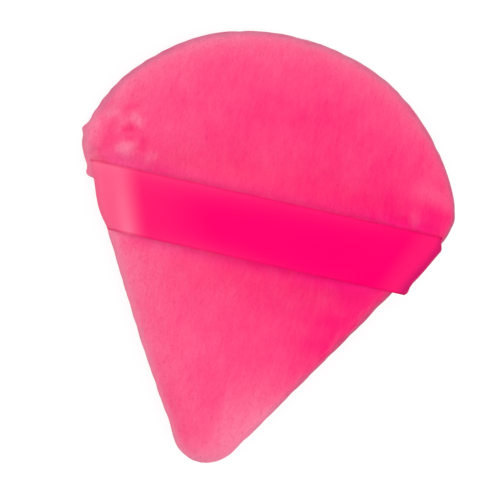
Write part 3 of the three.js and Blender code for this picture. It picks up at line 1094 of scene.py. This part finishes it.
satinFinish = {
    "deep": pictured(250, 0, 102),
    "base": pictured(255, 0, 112),
    "selvedge": pictured(248, 9, 102),
    # the palest painted sheen of the satin
    "turned": pictured(254, 112, 149),
    # multiplied in as painted shade at the ribbon's right end
    "shaded": (0.62, 0.86, 0.84, 1),
    "streak": ((160, 5200, 160), 3, 0.6),
    "cloud": ((70, 150, 70), 2, 0.5),
    "streakShare": 0.6,
    "cloudShare": 0.4,
    "warpPitch": 0.24,  # in millimetres
    "weftPitch": 0.32,
    "warpHeight": 0.3,
    "weftHeight": 0.12,
    "selvedgeFrom": 0.5,  # in from its edge, in millimetres
    "selvedgeTo": 0.3,
    "selvedgeShare": 0.35,
    "rough": 0.36,
    "roughStreak": 0.1,
    "roughSelvedge": 0.2,
    "relief": 0.03 * mm,
    "bump": 0.7,
    "shine": 0.01,
}


def satinMaterial():
    finish = satinFinish
    paint = Paint("satin_ribbon")
    across = paint.attribute("ribbon_across")
    along = paint.attribute("ribbon_along")
    warp = paint.wave(across * (2 * math.pi / finish["warpPitch"]))
    weft = paint.wave(along * (2 * math.pi / finish["weftPitch"]))
    streak, cloud = paint.noise(*finish["streak"]), paint.noise(*finish["cloud"])
    edge = paint.node("ShaderNodeMath", {"operation": "ABSOLUTE"}, {0: across})
    half = ribbonSizes["width"] / 2
    selvedge = paint.band(edge, half - finish["selvedgeFrom"], half - finish["selvedgeTo"])
    weave = streak * finish["streakShare"] + cloud * finish["cloudShare"]
    colour = paint.mix(weave, finish["deep"], finish["base"])
    # painted sheen and glint on the satin
    colour = paint.mix(paint.attribute("ribbon_painted_sheen"), colour, finish["turned"])
    colour = paint.mix(selvedge * finish["selvedgeShare"], colour, finish["selvedge"])
    # painted shade at the ribbon's right end
    colour = paint.mix(paint.attribute("ribbon_shaded"), colour, finish["shaded"], "MULTIPLY")
    rough = finish["rough"] + streak * finish["roughStreak"]
    height = warp * finish["warpHeight"] + weft * finish["weftHeight"] + selvedge * weft
    return paint.finish({
        "Base Color": colour,
        "Roughness": rough + selvedge * finish["roughSelvedge"],
        "Specular IOR Level": finish["shine"],
        "Normal": paint.bump(height, finish["relief"], finish["bump"]),
    })


foamFinish = {
    "light": pictured(246, 238, 222),
    "dark": pictured(232, 220, 200),
    "clouds": ((300, 300, 300), 3, 0.5),
    "pores": 1800.0,  # per metre
    "relief": 0.2 * mm,
    "bump": 0.8,
    "rough": 0.9,
    "shine": 0.2,
}


def foamMaterial():
    finish = foamFinish
    paint = Paint("foam")
    pores = paint.node("ShaderNodeTexVoronoi", {}, {
        "Vector": paint.place(), "Scale": finish["pores"]})
    return paint.finish({
        "Base Color": paint.mix(paint.noise(*finish["clouds"]), finish["light"], finish["dark"]),
        "Roughness": finish["rough"],
        "Specular IOR Level": finish["shine"],
        "Normal": paint.bump(pores, finish["relief"], finish["bump"]),
    })


threadFinish = {
    "dark": pictured(226, 20, 96),
    "light": pictured(250, 70, 130),
    "twist": 900.0,  # turns per metre
    "twistUneven": 1.5,
    "twistShare": 0.7,
    "fuzz": ((6000, 6000, 6000), 2, 0.5),
    "fuzzShare": 0.3,
    "relief": 0.06 * mm,
    "bump": 0.8,
    "rough": 0.6,
    "shine": 0.3,
}


def threadMaterial():
    finish = threadFinish
    paint = Paint("sewing_thread")
    twist = paint.node("ShaderNodeTexWave", {"bands_direction": "DIAGONAL"}, {
        "Vector": paint.place(), "Scale": finish["twist"],
        "Distortion": finish["twistUneven"]})
    shade = twist * finish["twistShare"] + paint.noise(*finish["fuzz"]) * finish["fuzzShare"]
    return paint.finish({
        "Base Color": paint.mix(shade, finish["dark"], finish["light"]),
        "Roughness": finish["rough"],
        "Specular IOR Level": finish["shine"],
        "Normal": paint.bump(twist, finish["relief"], finish["bump"]),
    })


def dress(piece, material):
    piece.data.materials.clear()
    piece.data.materials.append(material)


velour, satin, foam, thread = velourMaterial(), satinMaterial(), foamMaterial(), threadMaterial()
for piece, node, slotName, material in (
    (upperVelour, "upper_cover", "velour", velour),
    (lowerVelour, "lower_cover", "velour", velour),
    (foamCore, "sponge_core", "sponge", foam),
    (closingStitch, "closing_thread", "thread", thread),
):
    dress(piece, material)
    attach(piece, "pad")
    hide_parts(node)
for name in ("seam_needle_thread", "seam_bobbin_thread"):
    dress(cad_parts[name], thread)

# The satin ribbon takes the strap's place, its placement baked into its mesh
dress(satinRibbon, satin)
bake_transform(satinRibbon)
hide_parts("strap")
print("materials ready")

# Soft boxes round the puff: direction, height above the floor and power
studio = {
    "lamps": [
        ((-1.0, 0.15), 0.98, 36.4),
        ((1.0, -0.1), 0.98, 32.4),
        ((0.2, 1.0), 0.78, 20.3),
        ((0.1, -1.0), 0.78, 20.3),
        ((0.0, 0.0), 3.2, 34.9),
    ],
    "away": 2.4,
    "size": 1.76,
    "world": 0.235,
    "floorColour": (0.32, 0.32, 0.32, 1),
    "floorGlow": 0.76,
    "floorSize": 10,
}


def softBox(direction, height, power):
    place = Vector((*direction, 0)).normalized() * studio["away"] + Vector((0, 0, height))
    bpy.ops.object.light_add(type="AREA", location=place)
    lamp = bpy.context.object
    lamp.data.energy = power
    lamp.data.size = studio["size"]
    lamp.rotation_euler = (-place).to_track_quat("-Z", "Y").to_euler()


def makeStudio():
    bpy.ops.mesh.primitive_plane_add(size=studio["floorSize"], location=(0, 0, 0))
    floor = bpy.context.object
    floor.name = "studio_floor"
    paint = Paint("floor")
    matt = paint.node("ShaderNodeBsdfDiffuse", {}, {"Color": studio["floorColour"]})
    glow = paint.node("ShaderNodeEmission", {}, {
        "Color": (1, 1, 1, 1), "Strength": paint.seen() * studio["floorGlow"]})
    both = paint.node("ShaderNodeAddShader", {}, {0: matt, 1: glow})
    paint.node("ShaderNodeOutputMaterial", {}, {"Surface": both})
    dress(floor, paint.material)
    for lamp in studio["lamps"]:
        softBox(*lamp)
    world = bpy.data.worlds.new("studio")
    bpy.context.scene.world = world
    world.use_nodes = True
    sky = Paint("sky", world)
    strength = sky.seen() * (1 - studio["world"]) + studio["world"]
    white = sky.node("ShaderNodeBackground", {}, {"Color": (1, 1, 1, 1), "Strength": strength})
    sky.node("ShaderNodeOutputWorld", {}, {"Surface": white})


makeStudio()
bpy.context.scene.view_settings.view_transform = "Standard"
print("studio ready")
